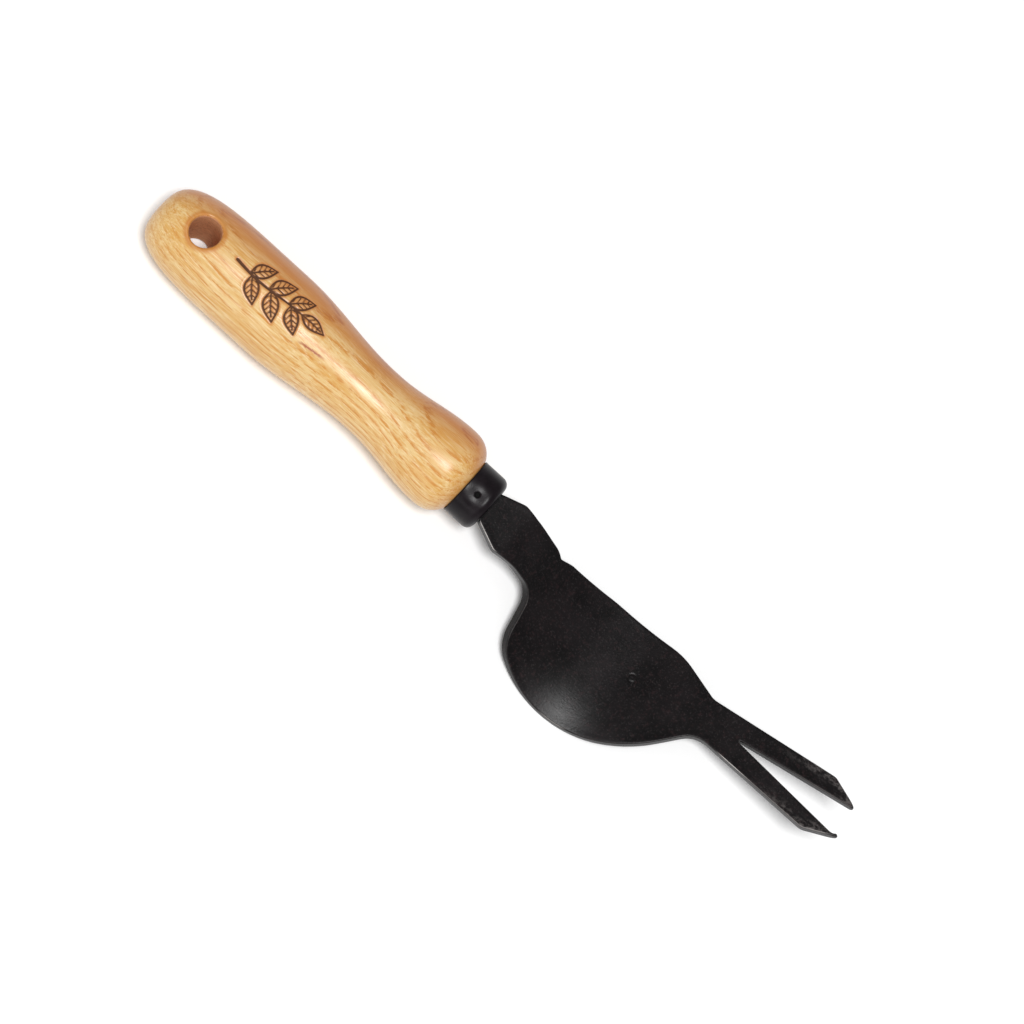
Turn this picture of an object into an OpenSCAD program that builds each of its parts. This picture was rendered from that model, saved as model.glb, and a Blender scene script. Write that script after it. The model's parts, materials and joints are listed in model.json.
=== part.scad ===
// Hand weeder with a turned ash handle and a forged half-moon blade that ends in a two-tined fork.
// Millimetres. The origin is the centre of the hanging hole, on the handle's axis. +X runs along the
// handle's axis to the fork, +Z is along the hole and out of the blade's upper face, and the
// half-moon's rounded side is on -Y.
// The blade is laid out flat, as a blank. s is the distance along the blank from the front of the
// ferrule, and y is the distance across it. sheet_point() bends the blank to its final shape.

/* [Handle] */
// Distance from the hanging hole to the butt
butt_reach = 18.5; // [14:0.5:24]
// Distance from the hanging hole to the shoulder that the ferrule butts against
shoulder_x = 124.8; // [118:0.2:132]
// Radius of the grip at its thickest
grip_r = 17; // [15:0.1:19]
// Radius of the waist in front of the grip
waist_r = 13.1; // [11:0.1:14]
// Radius of the swell next to the ferrule
swell_r = 16.5; // [14.5:0.1:18]
// Radius of the hanging hole
hole_r = 5.75; // [4:0.05:6.5]

/* [Ferrule] */
// Outer radius of the ferrule
ferrule_r = 11.1; // [10.5:0.05:11.5]
// Thickness of the ferrule's wall and of its closed front
ferrule_wall = 1.2; // [0.8:0.1:1.6]
// Length of the ferrule
ferrule_length = 11.6; // [10:0.1:14]
// Radius of the ferrule's front corner
ferrule_corner_r = 3; // [1:0.1:3.2]
// Radius of the pin that holds the ferrule
pin_r = 1; // [0.8:0.05:1.2]
// Length of the pin
pin_length = 6.5; // [5:0.1:7]
// Angle of the pin from +Z towards -Y
pin_angle = 14; // [0:1:30]

/* [Blade] */
// Thickness of the blade
blade_t = 3.8; // [3:0.1:4.2]
// Half the width of the tang at its inner end
tang_tip_half = 3; // [2:0.1:4]
// Half the width of the tang where it leaves the ferrule
tang_root_half = 5.7; // [4.5:0.1:5.8]
// Length of the tang behind the ferrule's front
tang_length = 64; // [50:1:75]
// Place along the blank where the crank starts
crank_s = 10; // [8:0.5:12]
// Radius of the crank, to the middle of the blade's thickness
crank_r = 16; // [10:1:22]
// Angle that the crank turns down
crank_angle = 33; // [25:0.5:36]
// Straight length between the crank and the belly
slope_length = 14; // [10:0.5:18]
// Radius of the belly, to the middle of the blade's thickness
belly_r = 64; // [55:1:80]
// Angle at which the fork rises from the axis of the handle
fork_angle = 16.5; // [12:0.5:19]
// Distance from the axis at which the half-moon starts to droop towards its rim
droop_y = 18; // [12:1:24]
// Radius of the droop on the upper face
droop_top_r = 85; // [70:5:140]
// Radius of the droop on the lower face, larger so that the rim thins out
droop_bottom_r = 140; // [100:5:180]

/* [Fork] */
// Place along the blank where the notch between the tines starts
notch_s = 128; // [124:0.5:132]
// Half the width of the notch at its root
notch_half = 0.3; // [0.2:0.1:1]
// Angle between the axis and the inner edge of a tine
notch_angle = 6.9; // [5:0.1:7.5]
// Place along the blank of the tip of the +Y tine
tip_s = 174.4; // [172:0.2:178]
// Extra length of the -Y tine
long_tine_extra = 1.8; // [0:0.2:3]
// How far the tip of the -Y tine is burred over into the notch
tip_burr = 1.4; // [0:0.1:1.5]

/* [Clearances] */
// Gap between pieces that sit in each other
gap = 0.1; // [0.05:0.05:0.2]

/* [Hidden] */

$fn = 96;

ash = [0.82, 0.6, 0.32];
black_steel = [0.09, 0.085, 0.09];
blade_black = [0.13, 0.12, 0.125];
pin_grey = [0.3, 0.29, 0.29];

// Shape of the turned handle: a rounded butt, a straight grip, a waist and a swell
butt_length = 42;
butt_power = 3.5;
grip_start_x = butt_length - butt_reach;
grip_end_x = 36.5;
waist_start_x = 80.5;
waist_end_x = 82.5;
swell_x = shoulder_x - 10.3;
swell_length = 12.3;
swell_power = 2.5;

spigot_r = ferrule_r - ferrule_wall - gap;
ferrule_front_x = shoulder_x + ferrule_length;
spigot_end_x = ferrule_front_x - ferrule_wall - gap;

// The pin stands in the middle of a dimple in the ferrule, with its head a little below the surface
pin_x = shoulder_x + 5.2;
pin_top_r = ferrule_r - 0.35;
pin_point_length = 1.4;
pin_point_r = 0.35;
pin_head_bevel = 0.3;
dimple_r = 1.6;
dimple_depth = 0.45;

// Bevels that ease the spigot into the ferrule and break the ferrule's back edge
spigot_bevel = 0.5;
ferrule_bevel = 0.4;
ferrule_inner_bevel = 0.6;

// Lengths along the blank at which the bends begin and end
slope_s = crank_s + crank_r * crank_angle * PI / 180;
belly_s = slope_s + slope_length;
fork_s = belly_s + belly_r * (crank_angle + fork_angle) * PI / 180;

// Centres of the two bends, seen from the side as [x, z]
crank_centre = [ferrule_front_x + crank_s, -crank_r];
slope_start = crank_centre + crank_r * [sin(crank_angle), cos(crank_angle)];
belly_start = slope_start + slope_length * [cos(crank_angle), -sin(crank_angle)];
belly_centre = belly_start + belly_r * [sin(crank_angle), cos(crank_angle)];
fork_start = belly_centre + belly_r * [sin(fork_angle), -cos(fork_angle)];

// Corners of the blank as [s, y, fillet radius], from the ferrule to the tine on each side
straight_side = [
    [-tang_length - 1, tang_tip_half, 0],
    [-1, tang_root_half, 2],
    [1.4, 6.7, 3],
    [9.5, 9.3, 1],
    [15.5, 8.5, 8],
    [31, 7.9, 10],
    [33.6, 6.6, 0.6],
    [39.3, 8.6, 4],
    [62.9, 11.6, 60],
    [93.8, 12.6, 28],
    [111.9, 6.6, 6],
    [tip_s - 11.6, 11.4, 0.8],
    [tip_s, 6.8, 0],
];
round_side = [
    [-tang_length - 1, -tang_tip_half, 0],
    [-1, -tang_root_half, 2],
    [1.4, -7, 3],
    [10.7, -11, 1.5],
    [20.8, -9.4, 25],
    [33.6, -9.6, 8],
    [39.2, -30, 14],
    [82.7, -47.1, 50.7],
    [114.8, -7.6, 10],
    [tip_s - 10.2, -11.1, 1.2],
    [tip_s + long_tine_extra, -5.8, 0],
];

// Numbers of points across the blank on each side of the notch
round_points = 9;
straight_points = 4;
row_points = round_points + straight_points;

function unit(v) = v / norm(v);

// Points of the fillet of radius r at corner b between a and c
function fillet(a, b, c, r) =
    let (
        back = unit(a - b),
        ahead = unit(c - b),
        half = acos(back * ahead) / 2,
        centre = b + unit(back + ahead) * r / sin(half),
        start = b + back * r / tan(half) - centre,
        turn = sign(cross(b - a, c - b)) * (180 - 2 * half),
        steps = max(2, ceil(abs(turn) / 5))
    )
    [for (i = [0 : steps])
        let (angle = turn * i / steps)
        centre + [start.x * cos(angle) - start.y * sin(angle),
                  start.x * sin(angle) + start.y * cos(angle)]];

// Outline through the corners, each rounded by its own fillet
function rounded(corners) = [
    for (i = [0 : len(corners) - 1])
        let (here = [corners[i].x, corners[i].y])
        each corners[i][2] == 0 ? [here] :
            fillet([corners[i - 1].x, corners[i - 1].y], here,
                   [corners[i + 1].x, corners[i + 1].y], corners[i][2])
];

straight_edge = rounded(straight_side);
round_edge = rounded(round_side);

// Centre line of the bent blade at s, as [x, z, angle down from the axis]
function bent(s) =
    s < crank_s ? [ferrule_front_x + s, 0, 0] :
    s < slope_s ?
        let (a = (s - crank_s) / crank_r * 180 / PI)
        [crank_centre.x + crank_r * sin(a), crank_centre.y + crank_r * cos(a), a] :
    s < belly_s ?
        [slope_start.x + (s - slope_s) * cos(crank_angle),
         slope_start.y - (s - slope_s) * sin(crank_angle), crank_angle] :
    s < fork_s ?
        let (a = crank_angle - (s - belly_s) / belly_r * 180 / PI)
        [belly_centre.x - belly_r * sin(a), belly_centre.y - belly_r * cos(a), a] :
        [fork_start.x + (s - fork_s) * cos(fork_angle),
         fork_start.y + (s - fork_s) * sin(fork_angle), -fork_angle];

// How far a face of the half-moon has drooped at y
function droop(y, r) = y > -droop_y ? 0 : r - sqrt(r * r - pow(y + droop_y, 2));

// A point of the bent blade on its upper face (side = 1) or its lower face (side = -1)
function sheet_point(s, y, side) =
    let (
        line = bent(s),
        height = side * blade_t / 2 - droop(y, side > 0 ? droop_top_r : droop_bottom_r)
    )
    [line[0] + height * sin(line[2]), y, line[1] + height * cos(line[2])];

// Half the width of the notch at s
function notch(s) = notch_half + max(0, s - notch_s) * tan(notch_angle);

// The burr that curls over the inner edge of the -Y tine's tip at s
function burr(s) = tip_burr * pow(max(0, 1 + (s - tip_s - long_tine_extra) / 3.5), 2);

// The blank's points across one row, from the round side to the straight side
function blank_row(s_round, s_straight) = [
    for (j = [0 : round_points - 1])
        let (low = lookup(s_round, round_edge), high = burr(s_round) - notch(s_round))
        [s_round, low + (high - low) * j / (round_points - 1)],
    for (j = [0 : straight_points - 1])
        let (low = notch(s_straight), high = lookup(s_straight, straight_edge))
        [s_straight, low + (high - low) * j / (straight_points - 1)],
];

// Places of the rows along the body: far apart on straight stretches and close together where the
// outline turns
body_rows = [
    for (i = [4 : -1 : 1]) -tang_length * i / 4,
    for (s = [-1.8 : 1.3 : 32]) s,
    for (s = [32.6 : 0.6 : 45]) s,
    for (s = [46.4 : 2.4 : 106]) s,
    for (s = [107 : 1.5 : notch_s - 0.8]) s,
    notch_s,
];
// Places of the rows along the tines, as shares of their length
tine_rows = [for (i = [1 : 6]) i * 0.11, for (i = [1 : 16]) 0.66 + i * 0.34 / 16];

blank_rows = [
    for (s = body_rows) blank_row(s, s),
    for (f = tine_rows)
        blank_row(notch_s + f * (tip_s + long_tine_extra - notch_s), notch_s + f * (tip_s - notch_s)),
];
row_count = len(blank_rows);
body_count = len(body_rows);

function corner_index(row, point, side) = (row * row_points + point) * 2 + side;

// The grid's strips: all of them along the body, and all but the notch's along the tines
function strip_is_solid(row, point) = row < body_count - 1 || point != round_points - 1;

// One wall between two rows at a given point of the rows, facing +Y if up is true
function wall(row, point, up) =
    let (
        a = corner_index(row, point, 0),
        b = corner_index(row + 1, point, 0)
    )
    up ? [a, b, b + 1, a + 1] : [a, a + 1, b + 1, b];

// One wall across the row between two neighbouring points, facing +X if ahead is true
function end_wall(row, point, ahead) =
    let (
        a = corner_index(row, point, 0),
        b = corner_index(row, point + 1, 0)
    )
    ahead ? [a, a + 1, b + 1, b] : [a, b, b + 1, a + 1];

blade_points = [
    for (row = blank_rows, p = row, side = [-1, 1]) sheet_point(p[0], p[1], side)
];
blade_faces = [
    for (i = [0 : row_count - 2], j = [0 : row_points - 2])
        if (strip_is_solid(i, j))
            let (
                a = corner_index(i, j, 1),
                b = corner_index(i + 1, j, 1),
                c = corner_index(i + 1, j + 1, 1),
                d = corner_index(i, j + 1, 1)
            )
            each [[a, d, c], [a, c, b], [a - 1, b - 1, c - 1], [a - 1, c - 1, d - 1]],
    for (i = [0 : row_count - 2])
        each [wall(i, 0, false), wall(i, row_points - 1, true)],
    for (i = [body_count - 1 : row_count - 2])
        each [wall(i, round_points - 1, true), wall(i, round_points, false)],
    for (j = [0 : row_points - 2])
        end_wall(0, j, false),
    end_wall(body_count - 1, round_points - 1, true),
    for (j = [0 : row_points - 2])
        if (j != round_points - 1) end_wall(row_count - 1, j, true),
];

// Profile of the handle as [radius, x]
function rounded_end(angle, length, r, power) =
    [r * pow(cos(angle), 2 / power), length * pow(sin(angle), 2 / power)];

function blend(share) = (1 - cos(180 * share)) / 2;

butt_profile = [
    for (a = [90 : -5 : 0])
        let (p = rounded_end(a, butt_length, grip_r, butt_power))
        [p[0], grip_start_x - p[1]]
];
waist_profile = [
    for (i = [0 : 22])
        [grip_r - (grip_r - waist_r) * blend(i / 22),
         grip_end_x + (waist_start_x - grip_end_x) * i / 22],
    for (i = [0 : 16])
        [waist_r + (swell_r - waist_r) * blend(i / 16),
         waist_end_x + (swell_x - waist_end_x) * i / 16],
];
shoulder_share = (shoulder_x - swell_x) / swell_length;
shoulder_r = swell_r * pow(1 - pow(shoulder_share, swell_power), 1 / swell_power);
swell_profile = [
    for (a = [4 : 4 : 80])
        let (p = rounded_end(a, swell_length, swell_r, swell_power))
        if (swell_x + p[1] < shoulder_x - 0.2) [p[0], swell_x + p[1]]
];

module along_x() {
    rotate([0, 90, 0]) children();
}

module turned_body() {
    along_x()
        rotate_extrude()
            polygon(concat(
                butt_profile,
                waist_profile,
                swell_profile,
                [[shoulder_r, shoulder_x], [spigot_r, shoulder_x],
                 [spigot_r, spigot_end_x - spigot_bevel],
                 [spigot_r - spigot_bevel, spigot_end_x],
                 [0, spigot_end_x]]
            ));
}

module hanging_hole() {
    cylinder(h = 2 * grip_r + 2, r = hole_r, center = true);
}

// The mortise that takes the tang
module mortise() {
    end_x = ferrule_front_x - tang_length - 1;
    mouth_x = spigot_end_x + 1;
    end_half = tang_tip_half + gap;
    mouth_half = tang_root_half + 2 * gap;
    translate([0, 0, -blade_t / 2 - gap])
        linear_extrude(height = blade_t + 2 * gap)
            polygon([
                [end_x, -end_half], [mouth_x, -mouth_half],
                [mouth_x, mouth_half], [end_x, end_half]
            ]);
}

module pin_place() {
    translate([pin_x, 0, 0]) rotate([pin_angle, 0, 0]) children();
}

module pin_bore() {
    pin_place()
        translate([0, 0, pin_top_r - pin_length - gap])
            cylinder(h = pin_length + 3, r = pin_r + gap / 2, $fn = 48);
}

module handle() {
    color(ash)
        difference() {
            turned_body();
            hanging_hole();
            mortise();
            pin_bore();
        }
}

module ferrule_shell() {
    corner = [for (a = [0 : 10 : 90])
        [ferrule_r - ferrule_corner_r + ferrule_corner_r * cos(a),
         ferrule_front_x - ferrule_corner_r + ferrule_corner_r * sin(a)]];
    inner_r = ferrule_r - ferrule_wall;
    inner_x = ferrule_front_x - ferrule_wall;
    along_x()
        rotate_extrude()
            polygon(concat(
                [[ferrule_r - ferrule_bevel, shoulder_x + gap],
                 [ferrule_r, shoulder_x + gap + ferrule_bevel]],
                corner,
                [[0, ferrule_front_x], [0, inner_x],
                 [inner_r - ferrule_inner_bevel, inner_x],
                 [inner_r, inner_x - ferrule_inner_bevel], [inner_r, shoulder_x + gap]]
            ));
}

// The slot in the ferrule's front, wide enough for the blade where it begins to widen
module tang_slot() {
    half = tang_root_half + 7 * gap;
    depth = 2 * ferrule_wall + 2;
    translate([ferrule_front_x - depth / 2, -half, -blade_t / 2 - 2 * gap])
        cube([depth, 2 * half, blade_t + 4 * gap]);
}

// A cone that is dimple_r wide where it meets the ferrule's surface
module pin_dimple() {
    pin_place()
        translate([0, 0, ferrule_r - dimple_depth])
            cylinder(h = 2 * dimple_depth, r1 = pin_r + gap / 2, r2 = 2 * dimple_r - pin_r - gap / 2);
}

module ferrule() {
    color(black_steel)
        difference() {
            ferrule_shell();
            tang_slot();
            pin_bore();
            pin_dimple();
        }
}

module ferrule_pin() {
    color(pin_grey)
        pin_place()
            translate([0, 0, pin_top_r - pin_length]) {
                cylinder(h = pin_point_length, r1 = pin_point_r, r2 = pin_r, $fn = 48);
                translate([0, 0, pin_point_length])
                    cylinder(h = pin_length - pin_point_length - pin_head_bevel, r = pin_r, $fn = 48);
                translate([0, 0, pin_length - pin_head_bevel])
                    cylinder(h = pin_head_bevel, r1 = pin_r, r2 = pin_r - pin_head_bevel, $fn = 48);
            }
}

module blade() {
    color(blade_black)
        polyhedron(points = blade_points, faces = blade_faces);
}

handle();
ferrule();
ferrule_pin();
blade();
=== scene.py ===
"""Looks of the hand weeder: a lacquered ash handle, a black ferrule with its pin, and a forged blade.

Shapes are worked out in millimetres in the part's own frame: the origin is the centre of the hanging
hole, +X runs to the fork, +Z comes out of the blade's upper face, and the half-moon is on -Y.
"""

import json
import math

import bpy
import numpy as np
from mathutils import Matrix, Vector, noise
from mathutils.geometry import delaunay_2d_cdt
from mathutils.kdtree import KDTree


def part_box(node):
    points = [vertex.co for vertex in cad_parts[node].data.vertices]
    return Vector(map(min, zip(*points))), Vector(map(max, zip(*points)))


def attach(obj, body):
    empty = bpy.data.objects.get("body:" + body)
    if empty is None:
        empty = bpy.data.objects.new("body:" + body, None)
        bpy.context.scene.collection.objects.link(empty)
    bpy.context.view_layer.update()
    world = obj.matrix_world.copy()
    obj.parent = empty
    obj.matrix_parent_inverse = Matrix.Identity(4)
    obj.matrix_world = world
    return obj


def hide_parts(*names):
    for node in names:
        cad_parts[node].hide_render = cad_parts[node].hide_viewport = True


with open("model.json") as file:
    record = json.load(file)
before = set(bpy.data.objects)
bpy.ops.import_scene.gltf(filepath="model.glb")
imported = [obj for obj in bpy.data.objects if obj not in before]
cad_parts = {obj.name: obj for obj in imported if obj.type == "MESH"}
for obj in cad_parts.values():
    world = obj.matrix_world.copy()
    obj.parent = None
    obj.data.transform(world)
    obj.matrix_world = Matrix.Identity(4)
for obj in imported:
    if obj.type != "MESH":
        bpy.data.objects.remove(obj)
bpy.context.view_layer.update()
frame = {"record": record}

MM = 0.001


def node_box(name):
    """Lowest and highest corner of a CAD node, in millimetres."""
    low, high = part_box(name)
    return np.array(low) / MM, np.array(high) / MM


def new_object(name, data):
    made = bpy.data.objects.new(name, data)
    bpy.context.scene.collection.objects.link(made)
    return made


# ---------------------------------------------------------------- camera, in degrees and metres

CAMERA_ROLL = 17.0  # the camera leans towards -Y
CAMERA_PITCH = 3.0  # and a little towards -X
CAMERA_TURN = 42.4  # angle of the handle's axis in the picture
CAMERA_DISTANCE = 1.15
CAMERA_LENS = 115.5
CAMERA_AIM = Vector((0.14341, 0.00434, 0.00032))


def make_camera():
    roll, pitch, turn = (math.radians(a) for a in (CAMERA_ROLL, CAMERA_PITCH, CAMERA_TURN))
    back = Vector((-math.sin(pitch), -math.sin(roll) * math.cos(pitch), math.cos(roll) * math.cos(pitch)))
    along = (Vector((1, 0, 0)) - back * back.x).normalized()
    across = back.cross(along)
    right = along * math.cos(turn) + across * math.sin(turn)
    up = across * math.cos(turn) - along * math.sin(turn)
    data = bpy.data.cameras.new("camera")
    data.lens = CAMERA_LENS
    data.sensor_width = 36
    camera = new_object("camera", data)
    rotation = Matrix((right, up, back)).transposed().to_4x4()
    camera.matrix_world = Matrix.Translation(CAMERA_AIM + back * CAMERA_DISTANCE) @ rotation
    bpy.context.scene.camera = camera


# ---------------------------------------------------------------- shader helper


class Shader:
    """A material's node tree. An input may be a number, a colour, a node (its first output) or a socket."""

    def __init__(self, name):
        self.material = bpy.data.materials.new(name)
        self.material.use_nodes = True
        self.tree = self.material.node_tree
        self.tree.nodes.clear()

    def add(self, kind, inputs=None, **settings):
        made = self.tree.nodes.new("ShaderNode" + kind)
        for key, value in settings.items():
            setattr(made, key, value)
        for key, value in (inputs or {}).items():
            if isinstance(value, bpy.types.Node):
                value = value.outputs[0]
            if isinstance(value, bpy.types.NodeSocket):
                self.tree.links.new(value, made.inputs[key])
            else:
                made.inputs[key].default_value = value
        return made

    def millimetres(self):
        place = self.add("TexCoord").outputs["Object"]
        return self.add("VectorMath", {0: place, 1: (1000, 1000, 1000)}, operation="MULTIPLY")

    def stretch(self, vector, scale):
        return self.add("VectorMath", {0: vector, 1: scale}, operation="MULTIPLY")

    def noise(self, vector, scale, detail=2.0, rough=0.5):
        return self.add("TexNoise", {"Vector": vector, "Scale": scale, "Detail": detail, "Roughness": rough})

    def maths(self, operation, a, b=0.0):
        return self.add("Math", {0: a, 1: b}, operation=operation)

    def smooth(self, value, low, high, to_low=0.0, to_high=1.0):
        """to_low below low, to_high above high, and a smooth step between them."""
        return self.add(
            "MapRange",
            {"Value": value, "From Min": low, "From Max": high, "To Min": to_low, "To Max": to_high},
            interpolation_type="SMOOTHSTEP",
        )

    def mix(self, share, a, b):
        made = self.add("Mix", data_type="RGBA", blend_type="MIX")
        for key, value in ((0, share), (6, a), (7, b)):
            if isinstance(value, bpy.types.Node):
                value = value.outputs[2] if value.bl_idname == "ShaderNodeMix" else value.outputs[0]
            if isinstance(value, bpy.types.NodeSocket):
                self.tree.links.new(value, made.inputs[key])
            else:
                made.inputs[key].default_value = value if key == 0 else (*value, 1.0)
        return made.outputs[2]

    def finish(self, inputs):
        surface = self.add("BsdfPrincipled", inputs)
        self.add("OutputMaterial", {"Surface": surface})
        return self.material


# ---------------------------------------------------------------- mesh helpers


def mesh_object(name, points, faces):
    data = bpy.data.meshes.new(name)
    data.from_pydata((np.asarray(points) * MM).tolist(), [], [list(map(int, f)) for f in faces])
    data.update()
    return new_object(name, data)


def apply_modifiers(thing):
    """Replaces the object's mesh with what its modifiers make of it."""
    graph = bpy.context.evaluated_depsgraph_get()
    data = bpy.data.meshes.new_from_object(thing.evaluated_get(graph))
    thing.modifiers.clear()
    thing.data = data


def cut(thing, cutters):
    """Cuts the cutters out of the object, then deletes them."""
    for cutter in cutters:
        modifier = thing.modifiers.new("cut", "BOOLEAN")
        modifier.operation = "DIFFERENCE"
        modifier.solver = "EXACT"
        modifier.object = cutter
        apply_modifiers(thing)
        bpy.data.objects.remove(cutter)


def shade_smooth(thing):
    thing.data.polygons.foreach_set("use_smooth", np.ones(len(thing.data.polygons), bool))


def even_out(thing, voxel, rounds):
    """Rebuilds the object in even quads of about voxel millimetres, which also rounds its edges."""
    remesh = thing.modifiers.new("remesh", "REMESH")
    remesh.mode = "VOXEL"
    remesh.voxel_size = voxel * MM
    smooth = thing.modifiers.new("smooth", "SMOOTH")
    smooth.factor = 0.5
    smooth.iterations = rounds
    apply_modifiers(thing)
    shade_smooth(thing)


def read_points(thing):
    """The vertices and their normals, with the vertices in millimetres."""
    count = len(thing.data.vertices)
    points, normals = np.empty(count * 3), np.empty(count * 3)
    thing.data.vertices.foreach_get("co", points)
    thing.data.vertices.foreach_get("normal", normals)
    return points.reshape(-1, 3) / MM, normals.reshape(-1, 3)


def write_points(thing, points):
    thing.data.vertices.foreach_set("co", (points * MM).astype(np.float32).ravel())
    thing.data.update()


def write_attribute(thing, name, values):
    made = thing.data.attributes.new(name, "FLOAT", "POINT")
    made.data.foreach_set("value", values.astype(np.float32))


def smoothstep(low, high, value):
    share = np.clip((value - low) / (high - low), 0, 1)
    return share * share * (3 - 2 * share)


def noise_at(points, scale, seed):
    """Smooth noise from -1 to 1 at each point."""
    shift = Vector((seed * 17.3, seed * 5.1, seed * 9.7))
    return np.array([noise.noise(Vector(p) * scale + shift) for p in points])


def grid_faces(rows, columns):
    """Quads of a grid of points stored row by row, with its last column joined to its first."""
    row, column = np.meshgrid(np.arange(rows - 1) * columns, np.arange(columns), indexing="ij")
    after = (column + 1) % columns
    corners = [row + column, row + after, row + columns + after, row + columns + column]
    return np.stack([c.ravel() for c in corners], 1)


def even_spacing(line, step):
    """Points along a polyline, about step apart, with its ends kept."""
    lengths = np.concatenate([[0], np.cumsum(np.linalg.norm(np.diff(line, axis=0), axis=1))])
    places = np.linspace(0, lengths[-1], max(2, int(math.ceil(lengths[-1] / step)) + 1))
    return np.stack([np.interp(places, lengths, line[:, k]) for k in range(line.shape[1])], 1)


def turned(name, profile, around):
    """A solid turned about the X axis from a profile of [x, radius] that starts and ends on the axis.

    Its faces point inwards where the profile's outside runs towards +X. even_out turns them outwards.
    """
    ring = np.linspace(0, 2 * math.pi, around, endpoint=False)
    inner = profile[1:-1]
    x = np.repeat(inner[:, :1], around, 1)
    points = np.stack([x, inner[:, 1:] * np.sin(ring), inner[:, 1:] * np.cos(ring)], 2).reshape(-1, 3)
    first, last = len(points), len(points) + 1
    points = np.concatenate([points, [[profile[0, 0], 0, 0], [profile[-1, 0], 0, 0]]])
    faces = grid_faces(len(inner), around).tolist()
    end = (len(inner) - 1) * around
    for i in range(around):
        j = (i + 1) % around
        faces.append([first, j, i])
        faces.append([last, end + i, end + j])
    return mesh_object(name, points, faces)


def prism(name, outline, low, high):
    """A straight block between two heights over an outline of [x, y], given anticlockwise."""
    count = len(outline)
    points = [(x, y, z) for z in (low, high) for x, y in outline]
    faces = [list(range(count))[::-1], list(range(count, 2 * count))]
    faces += [[i, (i + 1) % count, (i + 1) % count + count, i + count] for i in range(count)]
    return mesh_object(name, points, faces)


# ---------------------------------------------------------------- sizes

handle_low, handle_high = node_box("handle")
ferrule_high = node_box("ferrule")[1]

BUTT_X = handle_low[0]
GRIP_R = handle_high[1]
FERRULE_FRONT = ferrule_high[0]
FERRULE_R = ferrule_high[1]
SHOULDER_X = FERRULE_FRONT - 11.6
SPIGOT_END = handle_high[0]
SPIGOT_R = FERRULE_R - 1.3
WAIST_R, SWELL_R = 13.1, 16.5
BUTT_LENGTH = 42.0
GRIP_END_X, WAIST_START_X, WAIST_END_X = 36.5, 80.5, 82.5
SWELL_X = SHOULDER_X - 10.3  # where the handle is thickest in front of the waist
HOLE_R = frame["record"]["mounts"][0]["dims"]["r_mm"]
HOLE_ROUND, HOLE_ROUND_BELOW = 1.15, 0.15  # rounding of the hole's rim above and below
PIN_X = SHOULDER_X + 5.2
PIN_ANGLE = math.radians(14)

BLADE_T = 3.8
TANG_LENGTH = 64.0
CRANK_S, CRANK_R, CRANK_ANGLE = 10.0, 16.0, math.radians(33)
SLOPE_LENGTH = 14.0
BELLY_R = 64.0
FORK_ANGLE = math.radians(16.5)
DROOP_Y, DROOP_TOP_R, DROOP_BOTTOM_R = 18.0, 85.0, 140.0
NOTCH_S, NOTCH_HALF, NOTCH_ANGLE = 128.0, 0.3, math.radians(6.9)
TIP_S, LONG_TINE_EXTRA = 174.4, 1.8
TIP_BURR, BURR_LENGTH = 1.4, 3.5
TIP_NOSE, TIP_NOSE_LENGTH = 0.9, 3.0  # how far each tip rounds back towards its faces
TEST_MARK = np.array([215.5, -5.8])  # x and y of the ring-like dent
EDGE_R = 0.4  # rounding of the blade's edges
OUTLINE_STEP = 0.4  # distance between the points of the blade's outline
WALL_INSET = 0.04  # keeps the edges inside the CAD solid
ARRIS_FAR = 8.0  # distances to an edge are measured no further than this
SPRIG_X = 34.0  # middle of the burnt sprig
BURN_DEPTH = 0.28
GAP_FAR = 4.0  # distances to the burnt lines are measured no further than this
RUST_X = 54.0  # middle of the short rust-coloured streak

# Corners of the flat blank as [distance from the ferrule, y, fillet radius]
STRAIGHT_SIDE = [
    (-TANG_LENGTH - 1, 3, 0), (-1, 5.7, 2), (1.4, 6.7, 3), (9.5, 9.3, 1), (15.5, 8.5, 8), (31, 7.9, 10),
    (33.6, 6.6, 0.6), (39.3, 8.6, 4), (62.9, 11.6, 60), (93.8, 12.6, 28), (111.9, 6.6, 6),
    (TIP_S - 11.6, 11.4, 3.0), (TIP_S, 6.8, 0),
]
ROUND_SIDE = [
    (-TANG_LENGTH - 1, -3, 0), (-1, -5.7, 2), (1.4, -7, 3), (10.7, -11, 1.5), (20.8, -9.4, 25),
    (33.6, -9.6, 8), (39.2, -30, 14), (82.7, -47.1, 50.7), (114.8, -7.6, 10),
    (TIP_S - 10.2, -11.1, 4.0), (TIP_S + LONG_TINE_EXTRA, -5.8, 0),
]


# ---------------------------------------------------------------- blade


def rounded_outline(corners):
    """The outline through the corners, each rounded by its own fillet."""
    line = []
    for i, (x, y, radius) in enumerate(corners):
        here = np.array([x, y], float)
        if radius == 0:
            line.append(here)
            continue
        back = np.array(corners[i - 1][:2]) - here
        ahead = np.array(corners[i + 1][:2]) - here
        back, ahead = back / np.linalg.norm(back), ahead / np.linalg.norm(ahead)
        half = math.acos(np.clip(back @ ahead, -1, 1)) / 2
        middle = back + ahead
        centre = here + middle / np.linalg.norm(middle) * radius / math.sin(half)
        start = here + back * radius / math.tan(half) - centre
        side = back[1] * ahead[0] - back[0] * ahead[1]
        turn = math.copysign(math.pi - 2 * half, side)
        for angle in np.linspace(0, turn, max(3, int(abs(turn) / math.radians(2)) + 1)):
            c, s = math.cos(angle), math.sin(angle)
            line.append(centre + [start[0] * c - start[1] * s, start[0] * s + start[1] * c])
    return np.array(line)


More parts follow.
